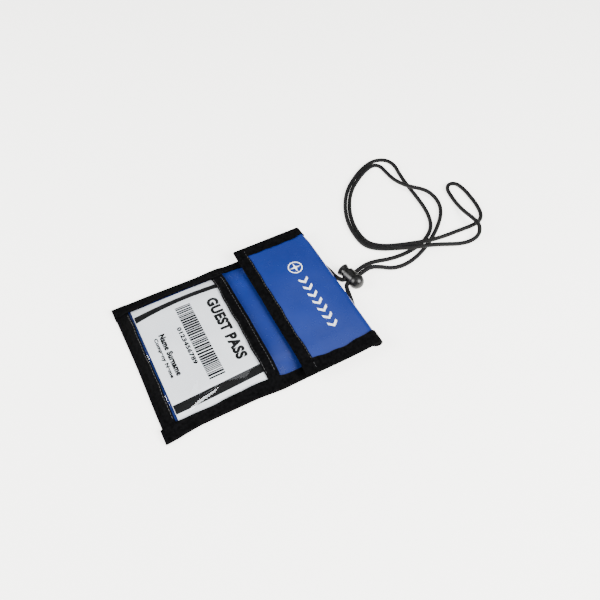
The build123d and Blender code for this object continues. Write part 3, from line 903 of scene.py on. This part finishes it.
# part.py's route in mm, with one added point near each corner on the straight through the lock
CORD_ROUTE = [
    (-50.0, 80.5, 1.9), (-43.5, 80.5, 1.9), (-36.5, 83.0, 1.9), (-28.5, 86.3, 2.2),
    (-21.0, 88.2, 3.1), (-14.5, 88.9, 4.3), (-9.4, 88.9, 5.4), (-4.2, 89.7, 6.2),
    on_strand(-1, BEFORE_LOCK), on_strand(-1, BEFORE_LOCK + 5.6),
    on_strand(-1, PAST_LOCK - 11.2), on_strand(-1, PAST_LOCK),
    (-5.0, 130.0, 4.6), (-3.4, 142.5, 1.9),
    (-2.2, 156.0, 1.9), (-3.6, 170.0, 1.9), (-8.2, 184.0, 1.9), (-17.5, 196.5, 1.9),
    (-33.0, 203.3, 1.9), (-52.0, 206.0, 1.9), (-71.0, 207.0, 1.9), (-88.0, 209.0, 1.9),
    (-102.5, 212.3, 1.9), (-113.0, 208.5, 1.9), (-117.3, 196.5, 1.9), (-113.0, 181.5, 1.9),
    (-104.8, 167.0, 1.9), (-94.0, 153.0, 1.9), (-78.5, 141.0, 1.9), (-59.5, 132.3, 1.9),
    (-40.5, 129.3, 1.9), (-25.5, 131.0, 1.9), (-14.5, 140.5, 4.6), (-6.5, 150.5, 8.6),
    (-0.2, 165.0, 8.6), (4.6, 180.0, 8.6), (7.8, 194.0, 4.9), (11.2, 206.5, 2.0),
    (13.2, 217.0, 1.9), (12.2, 226.5, 4.4), (5.0, 231.4, 8.6), (-6.0, 230.6, 8.6),
    (-17.5, 231.8, 4.8), (-30.0, 234.0, 1.9), (-42.0, 235.6, 1.9), (-51.0, 238.0, 1.9),
    (-55.2, 243.6, 1.9), (-52.5, 250.2, 1.9), (-42.5, 251.8, 1.9), (-31.0, 251.0, 1.9),
    (-19.0, 249.4, 1.9), (-8.0, 245.6, 1.9), (-2.0, 238.0, 1.9), (-1.4, 227.5, 1.9),
    (-2.2, 215.5, 1.9), (-2.4, 204.5, 2.1), (-1.2, 193.0, 5.2), (-0.6, 181.0, 8.6),
    (-4.7, 166.2, 8.6), (-10.6, 152.2, 7.2), (-17.8, 143.2, 3.9), (-27.4, 135.2, 1.9),
    (-40.4, 133.3, 1.9), (-58.4, 136.2, 1.9), (-76.6, 144.5, 1.9), (-91.4, 156.0, 1.9),
    (-101.4, 169.3, 1.9), (-109.1, 182.9, 1.9), (-112.0, 193.8, 1.9), (-107.5, 198.8, 1.9),
    (-98.0, 199.2, 1.9), (-86.0, 199.6, 2.3), (-74.0, 201.0, 5.4), (-64.0, 204.0, 8.6),
    (-57.5, 210.8, 8.6), (-53.0, 217.4, 5.6), (-45.5, 220.8, 2.4), (-35.5, 219.0, 1.9),
    (-25.5, 212.6, 1.9), (-15.2, 201.5, 1.9), (-5.2, 187.0, 1.9), (1.6, 174.0, 1.9),
    (6.2, 161.5, 1.9), (8.2, 149.5, 1.9), (6.6, 138.0, 2.5), (1.6, 128.6, 4.9),
    on_strand(1, PAST_LOCK), on_strand(1, PAST_LOCK - 9.2),
    on_strand(1, BEFORE_LOCK + 3.8), on_strand(1, BEFORE_LOCK),
    (7.8, 91.2, 6.3), (14.4, 90.2, 4.7),
    (21.5, 88.9, 3.1), (29.0, 86.3, 2.2), (36.5, 82.9, 1.9), (43.5, 80.5, 1.9), (50.0, 80.5, 1.9),
]


def follow(route):
    """Points in mm along the smooth NURBS line that the route's points steer."""
    curve = bpy.data.curves.new("route", "CURVE")
    curve.dimensions, curve.resolution_u = "3D", 12
    spline = curve.splines.new("NURBS")
    spline.points.add(len(route) - 1)
    for point, place in zip(spline.points, route):
        point.co = (*(Vector(place) * MM), 1)
    spline.order_u = 3
    spline.use_endpoint_u = True
    holder = bpy.data.objects.new("route", curve)
    bpy.context.scene.collection.objects.link(holder)
    bpy.context.view_layer.update()
    mesh = bpy.data.meshes.new_from_object(
        holder.evaluated_get(bpy.context.evaluated_depsgraph_get()))
    line = np.array([point.co for point in mesh.vertices]) / MM
    bpy.data.objects.remove(holder)
    bpy.data.curves.remove(curve)
    bpy.data.meshes.remove(mesh)
    return line


def tube(name, line, radius, finish, sides=16):
    """A tube along a line, with UVs in mm along it and round it."""
    way = np.gradient(line, axis=0)
    way /= np.linalg.norm(way, axis=1, keepdims=True)
    up = np.cross(way[0], (0, 1, 0.3))
    rings = []
    turn = np.linspace(0, 2 * math.pi, sides + 1)[:, None]
    for place, ahead in zip(line, way):
        up = up - ahead * (up @ ahead)
        up /= np.linalg.norm(up)
        rings.append(place + radius * (np.cos(turn) * up + np.sin(turn) * np.cross(ahead, up)))
    grid = np.array(rings)
    run = np.concatenate([[0], np.cumsum(np.linalg.norm(np.diff(line, axis=0), axis=1))])
    uv = np.stack(np.meshgrid(run, turn[:, 0] * radius, indexing="ij"), 2).reshape(-1, 2)
    faces = grid_faces(len(line), sides + 1)
    last = (len(line) - 1) * (sides + 1)
    faces += [list(range(sides)), [last + k for k in range(sides - 1, -1, -1)]]
    piece = add_mesh(name, grid.reshape(-1, 3), faces, finish, uv)
    weld(piece)
    return piece


cord_line = follow(CORD_ROUTE)
cord = tube("neck_cord_braid", cord_line, CORD_DIAMETER / 2, BRAID)
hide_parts("neck_cord")
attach(cord, "pouch")


# ---------------------------------------------------------------- sleeves that hold the cord's ends
def sleeve(side):
    """A stitched loop of tape that grips a cord end, wide and flat where it is sewn."""
    low, high = box_mm(f"{'left' if side < 0 else 'right'}_cord_tab")
    part = np.linspace(0, 1, 12)[:, None]
    turn = np.linspace(0, 2 * math.pi, 29)[None, :]
    flat = smooth(0.15, 0.8, part)
    x = side * (min(abs(low[0]), abs(high[0])) - 1.5 + part * 12.5) + 0 * turn
    tall = (high[2] - low[2]) / 2 * (1 - 0.45 * flat)
    wide = 2.0 + 0.9 * flat
    y = (low[1] + high[1]) / 2 + wide * np.sign(np.cos(turn)) * np.abs(np.cos(turn)) ** 0.8
    z = tall + 0.1 + tall * np.sign(np.sin(turn)) * np.abs(np.sin(turn)) ** 0.8
    grid = np.stack([x, y + 0 * x, z + 0 * x], 2)
    return grid[:, ::side]


for side, name in ((-1, "left"), (1, "right")):
    piece = shell(f"{name}_cord_sleeve", sleeve(side), 0.3, BINDING)
    weld(piece)
    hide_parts(f"{name}_cord_tab")
    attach(piece, "pouch")

# ---------------------------------------------------------------- finish
for node in ("lock_body", "lock_plunger"):
    nodes[node].data.materials[0] = PLASTIC
nodes["lock_spring"].data.materials[0] = STEEL

# ---------------------------------------------------------------- floor and light
floor_paint = Nodes("floor_paint", (0.86, 0.85, 0.81), 0.9,
                    Emission_Color=(1, 0.99, 0.95, 1), Emission_Strength=2.9)
floor_paint.bump((floor_paint.noise(floor_paint.place(), 2, 3.0), 0.01))
floor = add_mesh("floor", [(-4000, -4000, -0.05), (4000, -4000, -0.05), (4000, 4000, -0.05),
                           (-4000, 4000, -0.05)], [(0, 1, 2, 3)], floor_paint.material)


def soft_light(name, place, aim, size, power):
    """A square area light that shines from place to aim, both in mm."""
    light = bpy.data.lights.new(name, "AREA")
    light.size, light.energy = size * MM, power
    lamp = bpy.data.objects.new(name, light)
    bpy.context.scene.collection.objects.link(lamp)
    lamp.location = Vector(place) * MM
    lamp.rotation_euler = (Vector(aim) - Vector(place)).to_track_quat("-Z", "Y").to_euler()


soft_light("overhead", (700, 330, 850), (0, 60, 0), 600, 16)
soft_light("gloss", (-220, 330, 1050), (0, 40, 0), 600, 1.2)
soft_light("right", (900, 600, 750), (0, 60, 0), 700, 31)
soft_light("front", (-250, -900, 600), (0, 40, 0), 700, 26)
world = bpy.data.worlds.new("studio")
world.use_nodes = True
world.node_tree.nodes["Background"].inputs["Color"].default_value = (1, 1, 1, 1)
sky = world.node_tree.nodes["Background"].inputs["Strength"]
# the backdrop is seen pale, but lights the scene only a little
WORLD_LIGHT, WORLD_SEEN = 0.12, 3.2
seen = world.node_tree.nodes.new("ShaderNodeLightPath").outputs["Is Camera Ray"]
strength = world.node_tree.nodes.new("ShaderNodeMapRange")
strength.inputs["To Min"].default_value = WORLD_LIGHT
strength.inputs["To Max"].default_value = WORLD_SEEN
world.node_tree.links.new(seen, strength.inputs["Value"])
world.node_tree.links.new(strength.outputs["Result"], sky)
bpy.context.scene.world = world
